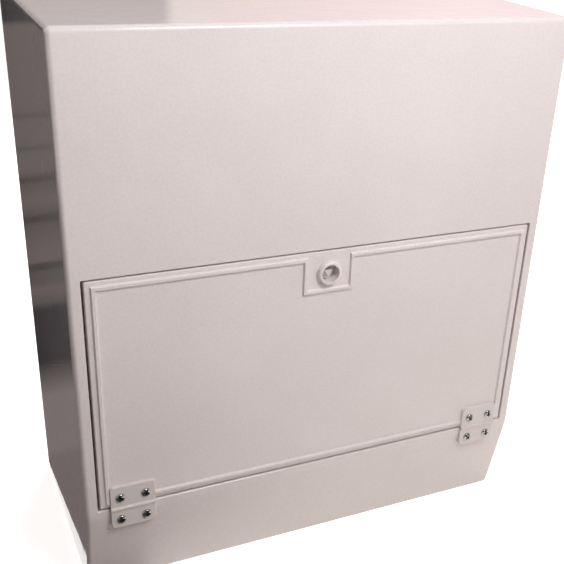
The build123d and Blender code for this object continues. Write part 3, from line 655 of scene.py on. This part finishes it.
# The bright screen, a painted reflection
# It stands behind the box, unseen by the camera, and glows for the glossy roof to mirror: a painted
# reflection, a little pink, dim at its left end and brighter to the right.
SCREEN_X = (-1.0, 1.5)
SCREEN_Y = 0.6
SCREEN_Z = (0.5, 1.6)
SCREEN_STRENGTH = 0.98
SCREEN_REFLECTION_BANDS = (                        # along X, in metres
    (0.030, (0.42, 0.36, 0.36)),
    (0.050, (0.78, 0.67, 0.64)),
    (0.200, (0.84, 0.68, 0.67)),
    (0.560, (1.00, 0.82, 0.81)),
)

# The screen glows with the roof's painted reflection
pale = glowing("painted_reflection_screen", 0, 1.0, SCREEN_REFLECTION_BANDS, SCREEN_STRENGTH)
add_mirrored("screen", rectangle("screen", SCREEN_X, SCREEN_Y, SCREEN_Z), pale)

# The light all round
# The background is white where it is seen straight or in a mirror. It lights everything dimly, and
# more from the right.
SKY_DARK = (0.158, 0.149, 0.172)        # from the left
SKY_LIGHT = (0.46, 0.445, 0.415)        # from the right

world = bpy.data.worlds.new("studio")
bpy.context.scene.world = world
world.use_nodes = True
world.node_tree.nodes.clear()
sky = Wire(world.node_tree)
towards = sky.make("ShaderNodeTexCoord", None, None, 0)
rightward = sky.make("ShaderNodeSeparateXYZ", None, {0: towards}, 0).between(-1.0, 1.0)
glow = {"Color": rightward.tint(SKY_DARK, SKY_LIGHT), "Strength": 1.0}
around = sky.make("ShaderNodeBackground", None, glow)
white = sky.make("ShaderNodeBackground", None, {"Color": (1.0, 1.0, 1.0), "Strength": 1.0})
both = sky.make("ShaderNodeMixShader", None, {0: seen_straight(sky), 1: around, 2: white})
sky.make("ShaderNodeOutputWorld", None, {"Surface": both})

# The lamps
# Three soft square lamps. The key hangs in front of the box and above it, a little to the right,
# and the other two stand behind it, so that its back and its left side aren't dark.
KEY_PLACE = (0.16, -0.75, 1.07)
KEY_AIM = (0.05, 0.0, 0.40)
KEY_COLOUR = (1.0, 0.995, 1.05)
KEY_WATTS = 6.6
KEY_SIZE = 0.35
BACK_PLACE = (0.75, 1.45, 1.35)
BACK_AIM = (0.05, 0.1, 0.30)
BACK_COLOUR = (1.0, 0.985, 0.98)
BACK_WATTS = 24.0
BACK_SIZE = 1.0
LEFT_PLACE = (-1.10, 0.75, 0.95)
LEFT_AIM = (-0.26, 0.0, 0.30)
LEFT_COLOUR = (1.0, 0.99, 1.0)
LEFT_WATTS = 2.6
LEFT_SIZE = 0.8


def add_lamp(name, place, aim, colour, watts, size):
    """A square lamp that faces a point."""
    lamp = bpy.data.lights.new(name, "AREA")
    lamp.shape = "SQUARE"
    lamp.size = size
    lamp.energy = watts
    lamp.color = colour
    made = bpy.data.objects.new(name, lamp)
    made.location = place
    towards = Vector(aim) - Vector(place)
    made.rotation_euler = towards.to_track_quat("-Z", "Y").to_euler()
    bpy.context.scene.collection.objects.link(made)


add_lamp("key", KEY_PLACE, KEY_AIM, KEY_COLOUR, KEY_WATTS, KEY_SIZE)
add_lamp("back_light", BACK_PLACE, BACK_AIM, BACK_COLOUR, BACK_WATTS, BACK_SIZE)
add_lamp("left_light", LEFT_PLACE, LEFT_AIM, LEFT_COLOUR, LEFT_WATTS, LEFT_SIZE)

# The camera
# It stands in front of the box's left corner, a little above its top, looks down at the door and
# is tilted a little to one side, as the photograph was taken.
CAMERA_PLACE = (-0.3301, -0.7878, 0.6591)
CAMERA_AIM = (0.3713, 0.8354, -0.4053)
CAMERA_ROLL = math.radians(2.15)
CAMERA_SENSOR = 36.0                    # both in millimetres
CAMERA_LENS = 52.82
CAMERA_SHIFT = (-0.0267, -0.0099)       # the photograph is part of a larger one

camera_data = bpy.data.cameras.new("camera")
camera_data.sensor_width = CAMERA_SENSOR
camera_data.lens = CAMERA_LENS
camera_data.shift_x, camera_data.shift_y = CAMERA_SHIFT
camera = bpy.data.objects.new("camera", camera_data)
aim = Vector(CAMERA_AIM).to_track_quat("-Z", "Y").to_matrix()
turned = aim @ Matrix.Rotation(CAMERA_ROLL, 3, "Z")
camera.matrix_world = Matrix.Translation(CAMERA_PLACE) @ turned.to_4x4()
bpy.context.scene.collection.objects.link(camera)
bpy.context.scene.camera = camera

bpy.context.scene.view_settings.view_transform = "Standard"
